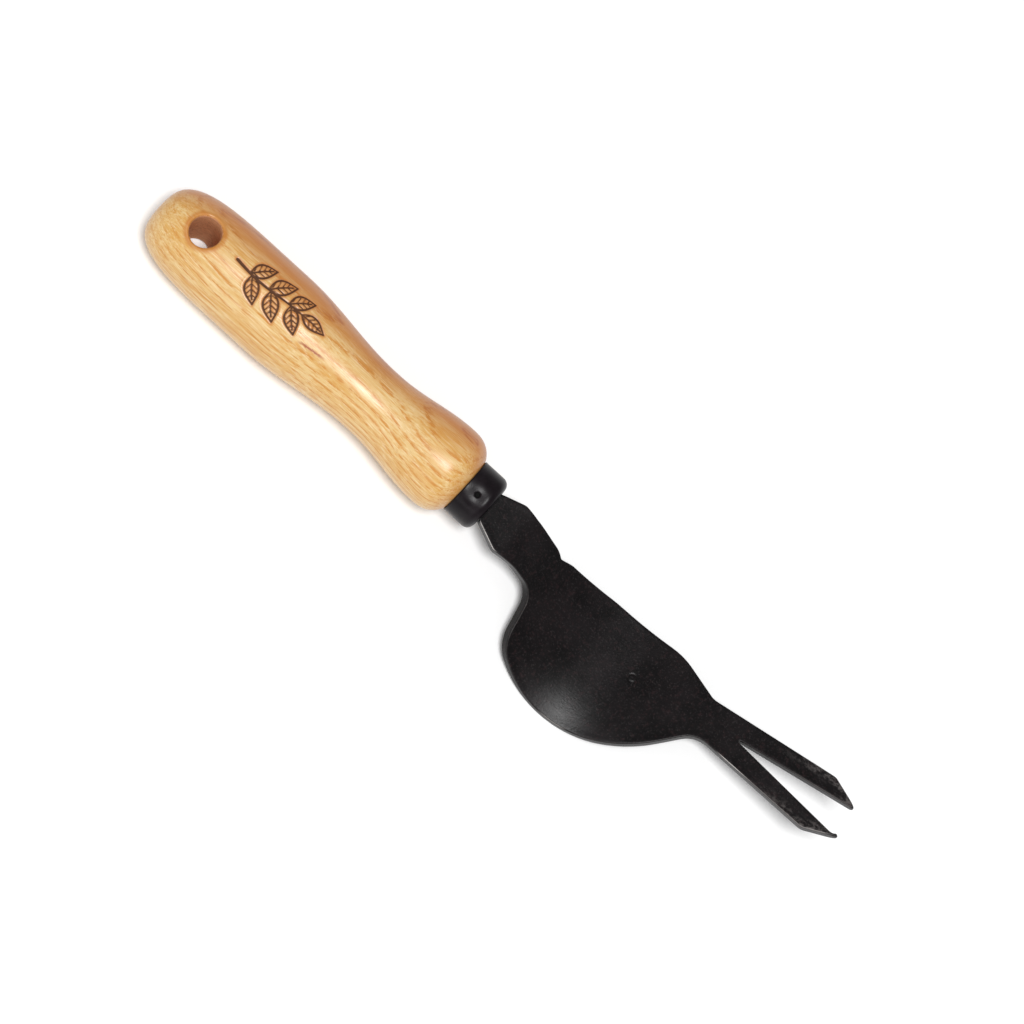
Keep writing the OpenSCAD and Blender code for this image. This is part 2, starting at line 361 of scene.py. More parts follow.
def bent(s):
    """Middle of the bent blade at each s, as x, z and the angle down from the axis."""
    slope_s = CRANK_S + CRANK_R * CRANK_ANGLE
    belly_s = slope_s + SLOPE_LENGTH
    fork_s = belly_s + BELLY_R * (CRANK_ANGLE + FORK_ANGLE)
    crank = np.array([FERRULE_FRONT + CRANK_S, -CRANK_R])
    down = np.array([math.sin(CRANK_ANGLE), math.cos(CRANK_ANGLE)])
    slope = crank + CRANK_R * down
    belly = slope + SLOPE_LENGTH * np.array([down[1], -down[0]])
    centre = belly + BELLY_R * down
    fork = centre + BELLY_R * np.array([math.sin(FORK_ANGLE), -math.cos(FORK_ANGLE)])
    a = (s - CRANK_S) / CRANK_R
    b = CRANK_ANGLE - (s - belly_s) / BELLY_R
    zones = [s < CRANK_S, s < slope_s, s < belly_s, s < fork_s]
    x = np.select(zones, [
        FERRULE_FRONT + s, crank[0] + CRANK_R * np.sin(a), slope[0] + (s - slope_s) * down[1],
        centre[0] - BELLY_R * np.sin(b),
    ], fork[0] + (s - fork_s) * math.cos(FORK_ANGLE))
    z = np.select(zones, [
        0 * s, crank[1] + CRANK_R * np.cos(a), slope[1] - (s - slope_s) * down[0],
        centre[1] - BELLY_R * np.cos(b),
    ], fork[1] + (s - fork_s) * math.sin(FORK_ANGLE))
    angle = np.select(zones, [0 * s, a, 0 * s + CRANK_ANGLE, b], -FORK_ANGLE)
    return x, z, angle


def sheet(s, y, side, drop=0.0):
    """Points of the bent blade, drop below its upper face (side 1) or above its lower face (side -1)."""
    end = np.where(y < 0, TIP_S + LONG_TINE_EXTRA, TIP_S)
    share = 1 - drop / (BLADE_T / 2)
    nose = 1 - np.sqrt(np.maximum(0, 1 - share**2))
    s = s - TIP_NOSE * smoothstep(end - TIP_NOSE_LENGTH, end, s) * nose
    radius = DROOP_TOP_R if side > 0 else DROOP_BOTTOM_R
    droop = radius - np.sqrt(radius**2 - np.maximum(0, -y - DROOP_Y) ** 2)
    x, z, angle = bent(s)
    height = side * (BLADE_T / 2 - drop) - droop
    return np.stack([x + height * np.sin(angle), y, z + height * np.cos(angle)], -1)


def notch(s):
    """Half the width of the notch between the tines at s."""
    return NOTCH_HALF + np.maximum(0, s - NOTCH_S) * math.tan(NOTCH_ANGLE)


def blade_outline():
    """The blank's closed outline as [s, y], anticlockwise, with its sharpest corners eased."""
    straight, rounded = rounded_outline(STRAIGHT_SIDE), rounded_outline(ROUND_SIDE)
    straight[0, 0] = rounded[0, 0] = -TANG_LENGTH
    long_s = TIP_S + LONG_TINE_EXTRA
    s_round, s_straight = np.linspace(NOTCH_S, long_s, 240), np.linspace(NOTCH_S, TIP_S, 240)
    burr = TIP_BURR * np.maximum(0, 1 + (s_round - long_s) / BURR_LENGTH) ** 2
    inner_round = np.stack([s_round, burr - notch(s_round)], 1)
    inner_straight = np.stack([s_straight, notch(s_straight)], 1)
    loop = np.concatenate([rounded, inner_round[::-1], inner_straight, straight[::-1]])
    step, spread = 0.1, 0.5
    start = 100  # points from the tang's corner back to where the outline starts
    loop = even_spacing(np.concatenate([loop, loop[:1]]), step)[:-1]
    shifts = range(-20, 21)
    weights = np.exp([-0.5 * (step * k / spread) ** 2 for k in shifts])
    eased = sum(w * np.roll(loop, k + start, axis=0) for k, w in zip(shifts, weights / weights.sum()))
    return even_spacing(np.concatenate([eased, eased[:1]]), OUTLINE_STEP)[:-1]


def area_of(polygons):
    """Area of each polygon in an array of polygons of [x, y], positive when anticlockwise."""
    ahead = np.roll(polygons, -1, axis=1)
    return (polygons[..., 0] * ahead[..., 1] - ahead[..., 0] * polygons[..., 1]).sum(1) / 2


def is_inside(triangles, count):
    """Whether each anticlockwise triangle lies inside the anticlockwise outline of the first count points.

    Outside triangles have all their corners on the outline, and go through them in falling order.
    """
    a, b, c = triangles.T
    rising = ((a < b) & (b < c)) | ((b < c) & (c < a)) | ((c < a) & (a < b))
    return rising | (triangles.max(1) >= count)


def check_closed(thing):
    """Stops the script if an edge of the object isn't shared by exactly two faces."""
    edges = np.empty(len(thing.data.loops), np.int32)
    thing.data.loops.foreach_get("edge_index", edges)
    uses = np.bincount(edges, minlength=len(thing.data.edges))
    if (uses != 2).any():
        raise ValueError(f"{thing.name} has {(uses != 2).sum()} edges that two faces don't share")


def staggered(low, high, step):
    """A triangular grid of points over the rectangle between two corners."""
    rows = []
    for i, y in enumerate(np.arange(low[1], high[1], step * 0.866)):
        x = np.arange(low[0] + (i % 2) * step / 2, high[0], step)
        rows.append(np.stack([x, np.full(len(x), y)], 1))
    return np.concatenate(rows)


def tree_of(points):
    tree = KDTree(len(points))
    for i, p in enumerate(points):
        tree.insert(p, i)
    tree.balance()
    return tree


def distance_to(points, targets, far):
    """Distance from each point to the nearest target, no more than far."""
    tree = tree_of(targets)
    return np.array([min(far, tree.find(p)[2]) for p in points])


def inner_points(outline, inward, mark):
    """Points inside the outline: coarse in the handle, and fine round the test mark."""
    low, high = outline.min(0), outline.max(0)
    coarse = staggered(low, (-3.0, high[1]), 2.4)
    plain = staggered((-2.6, low[1]), high, 0.8)
    fine = staggered(mark - 2.8, mark + 2.8, 0.26)
    away = np.linalg.norm(plain - mark, axis=1) > 2.9
    near = np.linalg.norm(fine - mark, axis=1) < 2.6
    tree = tree_of(np.pad(outline, ((0, 0), (0, 1))))
    kept = []
    for group, margin in ((coarse, 1.4), (plain[away], EDGE_R + 0.4), (fine[near], EDGE_R + 0.4)):
        for p in group:
            index, distance = tree.find((p[0], p[1], 0))[1:]
            if distance > margin and (p - outline[index]) @ inward[index] > 0:
                kept.append(p)
    return np.array(kept)


def blade_solid(mark):
    """The blade with rounded edges, and points along the middle of its edges: all, and the outer ones."""
    outline = blade_outline()
    count = len(outline)
    travel = np.roll(outline, -1, 0) - np.roll(outline, 1, 0)
    inward = np.stack([-travel[:, 1], travel[:, 0]], 1) / np.linalg.norm(travel, axis=1)[:, None]
    outline = outline + WALL_INSET * inward
    tips = np.array([[TIP_S, 6.4], [TIP_S + LONG_TINE_EXTRA, -5.3]])
    to_tip = np.linalg.norm(outline[:, None] - tips, axis=2).min(1)
    radius = EDGE_R * (1 - 0.45 * np.exp(-((to_tip / 2.0) ** 2)))

    def ring(degrees, side):
        """The outline on the rounded edge, from 0 degrees at the wall to 90 at the face."""
        angle = math.radians(degrees)
        at = outline + inward * radius[:, None] * (1 - math.cos(angle))
        return sheet(at[:, 0], at[:, 1], side, radius * (1 - math.sin(angle)))

    upper = [ring(a, 1) for a in (90, 67, 45, 22, 0)]
    lower = [ring(a, -1) for a in (0, 22, 45, 67, 90)]
    wall = []
    for share in (0.2, 0.4, 0.6, 0.8):
        drop = radius + (BLADE_T - 2 * radius) * share
        above, below = sheet(*outline.T, 1, drop), sheet(*outline.T, -1, BLADE_T - drop)
        wall.append(above * (1 - share) + below * share)
    rings = upper + wall + lower
    inner = inner_points(outline, inward, mark)
    flat = np.concatenate([outline + inward * radius[:, None], inner])
    made = delaunay_2d_cdt([Vector(p) for p in flat], [], [list(range(count))], 1, 1e-7, True)
    if not all(made[3]):
        raise ValueError("the blade's inset outline crosses itself")
    source = [ids[0] for ids in made[3]]
    triangles = np.array([[source[i] for i in face] for face in made[2]])
    triangles = triangles[is_inside(triangles, count)]
    if abs(area_of(flat[triangles]).sum() - area_of(flat[None, :count])[0]) > 0.01:
        raise ValueError("the blade's faces don't fill its outline")

    inner_upper = len(rings) * count
    inner_lower = inner_upper + len(inner)
    points = np.concatenate(rings + [sheet(inner[:, 0], inner[:, 1], side) for side in (1, -1)])
    on_outline = triangles < count
    last_ring = (len(rings) - 1) * count
    top = np.where(on_outline, triangles, triangles - count + inner_upper)
    bottom = np.where(on_outline, triangles + last_ring, triangles - count + inner_lower)
    faces = grid_faces(len(rings), count)[:, ::-1].tolist() + top.tolist()
    faces += bottom[:, ::-1].tolist()
    outer = (outline[:, 0] < NOTCH_S - 1) | (np.abs(outline[:, 1]) > notch(outline[:, 0]) + 1.9)
    edges = np.concatenate([upper[2], lower[2]])
    return mesh_object("blade_forging", points, faces), edges, edges[np.tile(outer, 2)]


def make_blade():
    along = np.linspace(40, 120, 800)
    mark = np.array([np.interp(TEST_MARK[0], bent(along)[0], along), TEST_MARK[1]])
    blade, edges, outer = blade_solid(mark)
    shade_smooth(blade)
    points, normals = read_points(blade)
    arris = distance_to(points, edges, ARRIS_FAR)
    outside = points[:, 0] > FERRULE_FRONT - 1
    dents = np.zeros(len(points))
    seen = points[outside]
    for depth, scale, seed in ((0.08, 0.09, 1), (0.04, 0.3, 2)):
        dents[outside] += depth * (noise_at(seen, scale, seed) - 1) / 2
    dents *= smoothstep(0.4, 2.4, arris) * smoothstep(0.3, 0.7, np.abs(normals[:, 2]))
    around = np.linalg.norm(points[:, :2] - TEST_MARK, axis=1)
    upper = smoothstep(0.3, 0.7, normals[:, 2])
    mark_depth, mark_r, mark_width = 0.13, 1.45, 0.34
    dents -= upper * mark_depth * np.exp(-(((around - mark_r) / mark_width) ** 2))
    write_points(blade, points + normals * dents[:, None])
    write_attribute(blade, "arris", arris)
    write_attribute(blade, "outer_arris", distance_to(points, outer, ARRIS_FAR))
    return blade


def blade_material():
    sh = Shader("blade_black")
    mm = sh.millimetres()
    arris = sh.add("Attribute", attribute_name="arris").outputs["Fac"]
    outer = sh.add("Attribute", attribute_name="outer_arris").outputs["Fac"]
    x, y = sh.add("SeparateXYZ", {0: mm}).outputs[:2]
    up = sh.add("SeparateXYZ", {0: sh.add("TexCoord").outputs["Normal"]}).outputs[2]
    cloud = sh.noise(mm, 0.055, 5, 0.6)
    speck = sh.noise(mm, 1.5, 2, 0.7)
    rust = sh.noise(mm, 0.6, 4, 0.7)
    grit = sh.noise(mm, 1.0, 4, 0.8)
    patch = sh.noise(sh.stretch(mm, (0.3, 0.6, 0.6)), 1.0, 7, 0.78)

    # Black scale, a little brown or grey from place to place, with fine pale specks
    coat = sh.mix(sh.smooth(cloud, 0.36, 0.66), (0.0014, 0.0009, 0.0012), (0.0060, 0.0042, 0.0048))
    coat = sh.mix(sh.smooth(rust, 0.53, 0.66, 0, 0.7), coat, (0.018, 0.0090, 0.0098))
    coat = sh.mix(sh.smooth(speck, 0.55, 0.70, 0, 0.5), coat, (0.036, 0.031, 0.032))

    # Scale rubbed thin along the edges, most of all on the outer edges near the fork's tips; the thin pale
    # line along every edge is partly this wear and partly a painted highlight
    reach = sh.smooth(x, 258, 296)
    line = sh.smooth(sh.maths("ADD", arris, sh.maths("MULTIPLY", patch, 0.3)), 0.22, 0.48, 1.0, 0.0)
    line = sh.maths("MULTIPLY", line, sh.smooth(reach, 0, 1, 0.1, 0.5))
    blotch = sh.smooth(patch, 0.46, 0.60)
    scuff = sh.maths("MULTIPLY", blotch, sh.smooth(outer, 0.8, 4.4, 1.0, 0.0))
    scuff = sh.maths("MULTIPLY", scuff, sh.smooth(reach, 0.05, 1.0, 0.0, 0.62))
    wear_and_glint = sh.maths("MULTIPLY", sh.maths("MAXIMUM", line, scuff), sh.smooth(up, 0.15, 0.6, 0.12, 1.0))
    wear_and_glint = sh.maths("MULTIPLY", wear_and_glint, sh.smooth(x, 299.5, 302.0, 1.0, 0.15))
    colour = sh.mix(wear_and_glint, coat, (0.15, 0.135, 0.13))

    # Painted highlight: a pale line on the upper -Y edge of the neck, of the half-moon's front and of the
    # fork, where the lamps' glint falls
    neck = sh.smooth(x, 146, 149, 1.0, 0.0)
    fork = sh.maths("MULTIPLY", sh.smooth(x, 253, 258), sh.smooth(x, 261, 270, 1.0, 0.22))
    front = sh.smooth(sh.maths("ABSOLUTE", sh.maths("SUBTRACT", x, 204)), 2.0, 6.5, 0.6, 0.0)
    front = sh.maths("MULTIPLY", front, sh.smooth(y, -36, -34, 1.0, 0.0))
    painted_glint = sh.maths("MAXIMUM", sh.maths("MAXIMUM", neck, fork), front)
    painted_glint = sh.maths("MULTIPLY", painted_glint, sh.smooth(y, -5.0, -3.5, 1.0, 0.0))
    painted_glint = sh.maths("MULTIPLY", painted_glint, sh.smooth(up, 0.3, 0.6))
    painted_glint = sh.maths("MULTIPLY", painted_glint, sh.smooth(outer, 0.12, 0.28, 1.0, 0.0))
    painted_glint = sh.maths("MULTIPLY", painted_glint, sh.smooth(patch, 0.36, 0.50, 0.3, 1.0))
    colour = sh.mix(painted_glint, colour, (0.50, 0.47, 0.45))
    wear_and_glint = sh.maths("MAXIMUM", wear_and_glint, painted_glint)

    # Painted shadow: a black line on the blade where it leaves the ferrule
    root = sh.smooth(x, FERRULE_FRONT + 0.5, FERRULE_FRONT + 1.0, 1.0, 0.0)
    colour = sh.mix(root, colour, (0.0004, 0.0004, 0.0004))

    rough = sh.maths("SUBTRACT", sh.smooth(cloud, 0.3, 0.7, 0.31, 0.36), sh.maths("MULTIPLY", wear_and_glint, 0.04))
    bump = sh.add("Bump", {"Strength": 0.6, "Distance": 0.00009, "Height": grit})
    bump = sh.add("Bump", {"Strength": 0.6, "Distance": 0.00005, "Height": speck, "Normal": bump})
    return sh.finish({
        "Base Color": colour, "Roughness": rough, "Metallic": sh.maths("MULTIPLY", wear_and_glint, 0.6),
        "Specular IOR Level": 0.18, "Normal": bump,
    })


# ---------------------------------------------------------------- handle


def handle_profile():
    """The handle's profile as [x, radius], from the butt to the end of the spigot."""

    def bulge(angle, length, radius, power):
        """A quarter of a superellipse, as its length and radius at each angle."""
        return length * np.sin(angle) ** (2 / power), radius * np.cos(angle) ** (2 / power)

    def blend(share):
        """A smooth rise from 0 to 1."""
        return (1 - np.cos(math.pi * share)) / 2

    angle = np.linspace(math.pi / 2, 0, 700)
    long, radius = bulge(angle, BUTT_LENGTH, GRIP_R, 3.5)
    parts = [np.stack([BUTT_X + BUTT_LENGTH - long, np.maximum(radius, 0)], 1)]
    share = np.linspace(0, 1, 200)
    for start_x, end_x, start_r, end_r in (
        (GRIP_END_X, WAIST_START_X, GRIP_R, WAIST_R),
        (WAIST_END_X, SWELL_X, WAIST_R, SWELL_R),
    ):
        x, radius = start_x + (end_x - start_x) * share, start_r + (end_r - start_r) * blend(share)
        parts.append(np.stack([x, radius], 1))
    long, radius = bulge(np.linspace(0, math.pi / 2, 700)[1:], 12.3, SWELL_R, 2.5)
    kept = SWELL_X + long < SHOULDER_X
    parts.append(np.stack([SWELL_X + long[kept], radius[kept]], 1))
    parts.append(np.array([
        [SHOULDER_X, parts[-1][-1, 1]], [SHOULDER_X, SPIGOT_R], [SPIGOT_END - 0.5, SPIGOT_R],
        [SPIGOT_END, SPIGOT_R - 0.5], [SPIGOT_END, 0],
    ]))
    return np.concatenate(parts)


def hole_cutter(profile):
    """The hanging hole's cutter: a cylinder whose ends flare out along the curved surface."""
    around = 96
    ring = np.linspace(0, 2 * math.pi, around, endpoint=False)
    outer = profile[: int(np.argmax(profile[:, 0] > 40))]

    def ring_at(radius, depth):
        x, y = radius * np.cos(ring), radius * np.sin(ring)
        surface = np.sqrt(np.interp(x, outer[:, 0], outer[:, 1]) ** 2 - y**2)
        return np.stack([x, y, surface - depth], 1)

    def flare(rounding):
        rings = [ring_at(HOLE_R + rounding + 0.7, -0.9), ring_at(HOLE_R + rounding + 0.2, -0.12)]
        for angle in np.radians(np.linspace(82, 0, 9)):
            out, down = rounding * (1 - math.cos(angle)), rounding * (1 - math.sin(angle))
            rings.append(ring_at(HOLE_R + out, down))
        return rings

    top, below = flare(HOLE_ROUND), flare(HOLE_ROUND_BELOW)[::-1]
    count = len(top)
    points = top + [ring * [1, 1, -1] for ring in below]
    points = np.concatenate(points + [[[0, 0, GRIP_R + 6], [0, 0, -GRIP_R - 6]]])
    faces = grid_faces(2 * count, around)[:, ::-1].tolist()
    first, last = 2 * count * around, 2 * count * around + 1
    end = (2 * count - 1) * around
    for i in range(around):
        j = (i + 1) % around
        faces.append([first, i, j])
        faces.append([last, end + j, end + i])
    return mesh_object("hole_cutter", points, faces)


def pin_frame():
    """Turns the Z axis to the pin's direction and moves it to the pin's place."""
    return Matrix.Translation((PIN_X * MM, 0, 0)) @ Matrix.Rotation(PIN_ANGLE, 4, "X")


def round_bar(name, radius, low, high, place):
    ring = np.linspace(0, 2 * math.pi, 48, endpoint=False)
    outline = np.stack([radius * np.cos(ring), radius * np.sin(ring)], 1)
    made = prism(name, outline, low, high)
    made.data.transform(place)
    return made


SPRIG_LEAVES = [
    # base, angle, length and half-width of each leaf
    (-13.0, 50, 10.0, 2.5), (-12.0, -50, 10.0, 2.5), (-4.6, 49, 10.6, 2.7), (-3.6, -49, 10.6, 2.7),
    (3.8, 46, 10.0, 2.5), (4.8, -46, 10.0, 2.5), (9.6, 1, 10.0, 2.3),
]


def sprig_stem(u):
    return 0.8 * np.sin(u / 6.5)


def sprig_gap(u, v):
    """Distance in millimetres to the burnt lines of a plain leafy sprig, negative inside them."""
    along = np.clip(u, -19.5, 10)
    gap = np.hypot(u - along, v - sprig_stem(along)) - (0.5 - 0.01 * (along + 19.5))
    for base, angle, length, width in SPRIG_LEAVES:
        c, s = math.cos(math.radians(angle)), math.sin(math.radians(angle))
        du, dv = u - base, v - sprig_stem(base)
        p, q = du * c + dv * s, dv * c - du * s
        share = np.clip(p / length, 0, 1)
        q = q - 0.3 * np.sin(math.pi * share) * math.copysign(1, angle)
        half = width * np.sin(math.pi * share**0.85)
        beyond = np.maximum(np.maximum(-p, p - length), 0)
        rim = np.hypot(np.abs(np.abs(q) - half) / np.hypot(1, 1.1 * width / length), beyond) - 0.29
        rib = np.hypot(q, np.maximum(np.maximum(-p, p - 0.84 * length), 0)) - 0.22
        vein = np.abs((p - 0.9 * np.abs(q)) % 1.9 - 0.95) / 1.35 - 0.13
        vein = np.maximum(vein, np.maximum(np.abs(q) - half + 0.5, np.maximum(1.4 - p, p - 0.82 * length)))
        gap = np.minimum(gap, np.minimum(np.minimum(rim, rib), vein))
    return gap


def make_handle():
    profile = handle_profile()
    coarse = even_spacing(profile, 0.8)
    coarse[0, 1] = coarse[-1, 1] = 0
    handle = turned("handle_ash", coarse, 192)
    end_x = FERRULE_FRONT - TANG_LENGTH - 1
    mortise = prism("mortise_cutter", [
        (end_x, -3.1), (SPIGOT_END + 1, -5.8), (SPIGOT_END + 1, 5.8), (end_x, 3.1),
    ], -BLADE_T / 2 - 0.1, BLADE_T / 2 + 0.1)
    pin_bore = round_bar("pin_cutter", 1.1, 4, 14, pin_frame())
    cut(handle, [hole_cutter(profile), mortise, pin_bore])
    even_out(handle, 0.4, 4)
    points, normals = read_points(handle)
    reach = np.hypot(points[:, 1], points[:, 2])
    beside = np.abs(points[:, 0] - SPRIG_X) < 26
    outside = (points[:, 2] > 6) & (reach > 11) & beside
    gap = np.full(len(points), GAP_FAR)
    u = points[outside, 0] - SPRIG_X
    v = GRIP_R * np.arctan2(points[outside, 1], points[outside, 2])
    gap[outside] = np.minimum(GAP_FAR, sprig_gap(u, v))
    burnt = 1 - smoothstep(-0.15, 0.3, gap)
    swelling = 0.05 * smoothstep(0.2, 0.7, gap) * (1 - smoothstep(0.7, 1.6, gap)) - 0.05
    skin = (np.hypot(points[:, 0], points[:, 1]) > HOLE_R + HOLE_ROUND) & (reach > SPIGOT_R + 0.5)
    relief = np.where(skin, swelling, 0) - BURN_DEPTH * burnt
    write_points(handle, points + normals * relief[:, None])
    write_attribute(handle, "burn_gap", gap)
    centres = np.empty(len(handle.data.polygons) * 3)
    handle.data.polygons.foreach_get("center", centres)
    centres = centres.reshape(-1, 3) / MM
    bore = np.hypot(centres[:, 0], centres[:, 1]) < HOLE_R + 0.14
    handle.data.polygons.foreach_set("material_index", bore.astype(np.int32))
    return handle


def bowed_grain(sh, mm):
    """The place in the wood, swayed a little so that the grain isn't dead straight."""
    sway = sh.noise(sh.stretch(mm, (0.012, 0.05, 0.05)), 1.0, 2)
    sway = sh.add("VectorMath", {0: sway.outputs["Color"], 1: (0.5, 0.5, 0.5)}, operation="SUBTRACT")
    return sh.add("VectorMath", {0: mm, 1: sh.stretch(sway, (0, 7, 7))}, operation="ADD")


def length_of(sh, a, b):
    return sh.maths("SQRT", sh.maths("ADD", sh.maths("POWER", a, 2), sh.maths("POWER", b, 2)))


def handle_material():
    sh = Shader("ash_wood")
    mm = sh.millimetres()
    bowed = bowed_grain(sh, mm)
    x, y, z = sh.add("SeparateXYZ", {0: bowed}).outputs
    flat_x, flat_y, flat_z = sh.add("SeparateXYZ", {0: mm}).outputs

    # Growth rings about a pith that lies outside the handle and leans a little against its axis
    ring_z = sh.maths("ADD", sh.maths("ADD", z, sh.maths("MULTIPLY", x, 0.03)), 34)
    ring = sh.maths("FRACT", sh.maths("DIVIDE", length_of(sh, sh.maths("ADD", y, 30), ring_z), 2.7))
    early = sh.maths("MULTIPLY", sh.smooth(ring, 0.0, 0.10), sh.smooth(ring, 0.16, 0.46, 1.0, 0.0))

    tone = sh.noise(sh.stretch(bowed, (0.03, 0.32, 0.32)), 1.0, 3, 0.55)
    dash = sh.noise(sh.stretch(bowed, (0.16, 0.9, 0.9)), 1.0, 3, 0.65)
    streak = sh.noise(sh.stretch(bowed, (0.10, 1.9, 1.9)), 1.0, 4, 0.65)
    fibre = sh.noise(sh.stretch(bowed, (0.14, 5.0, 5.0)), 1.0, 3, 0.6)
    fleck = sh.noise(sh.stretch(bowed, (0.5, 4.2, 4.2)), 1.0, 2, 0.5)

    pale, honey, amber = (0.74, 0.515, 0.225), (0.67, 0.395, 0.120), (0.58, 0.245, 0.040)
    colour = sh.mix(sh.smooth(tone, 0.38, 0.64), pale, honey)
    colour = sh.mix(sh.smooth(streak, 0.52, 0.60, 0.0, 0.72), colour, (0.63, 0.30, 0.06))
    dark = sh.maths("MULTIPLY", early, sh.smooth(dash, 0.43, 0.55, 0.12, 1.0))
    dark = sh.maths("MULTIPLY", dark, sh.smooth(flat_x, BUTT_X + 2, BUTT_X + 18, 0.35, 1.0))
    colour = sh.mix(dark, colour, amber)
    colour = sh.mix(sh.smooth(streak, 0.46, 0.36, 0.0, 0.55), colour, (0.84, 0.65, 0.38))
    shaded = sh.mix(0.5, colour, (0.40, 0.19, 0.06))
    colour = sh.mix(sh.smooth(fibre, 0.34, 0.70, 0.0, 0.30), colour, shaded)
    pore = sh.maths("MULTIPLY", sh.smooth(fleck, 0.66, 0.73), sh.smooth(early, 0.1, 0.6, 0.35, 0.9))
    colour = sh.mix(sh.maths("MULTIPLY", pore, 0.6), colour, (0.24, 0.10, 0.03))

    # Redder, darker wood along +Y, partly a heartwood tone and partly painted shade on the side turned away
    # from the lamps, and one short rust-coloured streak beside the burnt sprig
    heart_and_shade = sh.smooth(sh.maths("ADD", flat_y, sh.maths("MULTIPLY", tone, 5)), 2.0, 14.5, 0.0, 0.88)
    colour = sh.mix(heart_and_shade, colour, sh.mix(dark, (0.50, 0.165, 0.026), (0.40, 0.105, 0.012)))
    beside = sh.maths("ADD", flat_y, sh.maths("MULTIPLY", sh.maths("SUBTRACT", flat_x, RUST_X), -0.16))
    beside = sh.maths("ABSOLUTE", sh.maths("ADD", sh.maths("ADD", beside, 5.2), fleck))
    rust = sh.maths("MULTIPLY", sh.smooth(beside, 0.15, 0.6, 1.0, 0.0), sh.smooth(flat_z, 0, 1))
    ends = sh.maths("ABSOLUTE", sh.maths("SUBTRACT", flat_x, RUST_X))
    rust = sh.maths("MULTIPLY", rust, sh.smooth(ends, 2.5, 6.5, 1.0, 0.0))
    colour = sh.mix(rust, colour, (0.36, 0.085, 0.015))

    # Finish that has soaked in and darkened at the butt, at the shoulder and round the hole
    butt = sh.smooth(flat_x, BUTT_X + 0.5, BUTT_X + 7.0, 0.3, 0.0)
    shoulder = sh.smooth(flat_x, SHOULDER_X - 6.5, SHOULDER_X - 0.8, 0.0, 0.45)
    around = length_of(sh, flat_x, flat_y)
    rim = sh.smooth(around, HOLE_R + 1.1, HOLE_R + 2.6, 0.95, 0.0)
    soaked = sh.maths("MAXIMUM", sh.maths("MAXIMUM", butt, shoulder), rim)
    soaked = sh.maths("MULTIPLY", soaked, sh.smooth(tone, 0.3, 0.7, 0.7, 1.1))
    colour = sh.mix(soaked, colour, (0.52, 0.20, 0.034))

    gap = sh.add("Attribute", attribute_name="burn_gap").outputs["Fac"]
    ragged = sh.maths("ADD", gap, sh.maths("MULTIPLY", sh.maths("SUBTRACT", fibre, 0.5), 0.3))
    colour = sh.mix(sh.smooth(ragged, 0.05, 1.15, 0.75, 0.0), colour, (0.50, 0.175, 0.04))
    burnt = sh.smooth(ragged, -0.04, 0.22, 1.0, 0.0)
    char = sh.mix(sh.smooth(streak, 0.35, 0.65), (0.034, 0.012, 0.005), (0.085, 0.028, 0.010))
    colour = sh.mix(sh.maths("MULTIPLY", burnt, 0.95), colour, char)

    rough = sh.maths("ADD", sh.smooth(fibre, 0.3, 0.7, 0.40, 0.50), sh.maths("MULTIPLY", burnt, 0.3))
    height = sh.maths("SUBTRACT", sh.maths("MULTIPLY", fibre, 0.35), pore)
    bump = sh.add("Bump", {"Strength": 0.35, "Distance": 0.00008, "Height": height})
    ripple = sh.add("Bump", {"Strength": 0.4, "Distance": 0.00012, "Height": streak})
    return sh.finish({
        "Base Color": colour, "Roughness": rough, "Normal": bump, "Specular IOR Level": 0.3,
        "Coat Weight": sh.smooth(burnt, 0.0, 0.8, 0.5, 0.03), "Coat Roughness": 0.27, "Coat Normal": ripple,
    })


def bore_material():
    """Bare brown wood inside the hanging hole."""
    sh = Shader("ash_bore")
    mm = sh.millimetres()
    bowed = bowed_grain(sh, mm)
    turns = sh.noise(sh.stretch(mm, (0.5, 0.5, 2.4)), 1.0, 3, 0.6)
    fibre = sh.noise(sh.stretch(bowed, (0.3, 3.0, 3.0)), 1.0, 3, 0.6)
    colour = sh.mix(sh.smooth(fibre, 0.3, 0.7), (0.62, 0.30, 0.155), (0.88, 0.47, 0.245))
    colour = sh.mix(sh.smooth(turns, 0.5, 0.68, 0.0, 0.5), colour, (0.33, 0.15, 0.075))
    bump = sh.add("Bump", {"Strength": 0.5, "Distance": 0.00015, "Height": turns})
    return sh.finish({
        "Base Color": colour, "Roughness": sh.smooth(fibre, 0.3, 0.7, 0.72, 0.85), "Normal": bump,
        "Specular IOR Level": 0.15,
    })


# ---------------------------------------------------------------- ferrule and pin


def ferrule_profile():
    """The cap's closed profile as [x, radius]: out along the inside, back along the outside."""
    wall, corner, back = 1.2, 3.0, SHOULDER_X + 0.02
    inner_r, inner_x = FERRULE_R - wall, FERRULE_FRONT - wall
    angle = np.radians(np.linspace(0, 90, 16))
    bend = np.stack([
        FERRULE_FRONT - corner + corner * np.sin(angle), FERRULE_R - corner + corner * np.cos(angle),
    ], 1)
    return np.concatenate([
        [[inner_x, 0], [inner_x, inner_r - 0.6], [inner_x - 0.6, inner_r], [back, inner_r],
         [back, FERRULE_R - 0.12], [back + 0.12, FERRULE_R]],
        bend, [[FERRULE_FRONT, 0]],
    ])


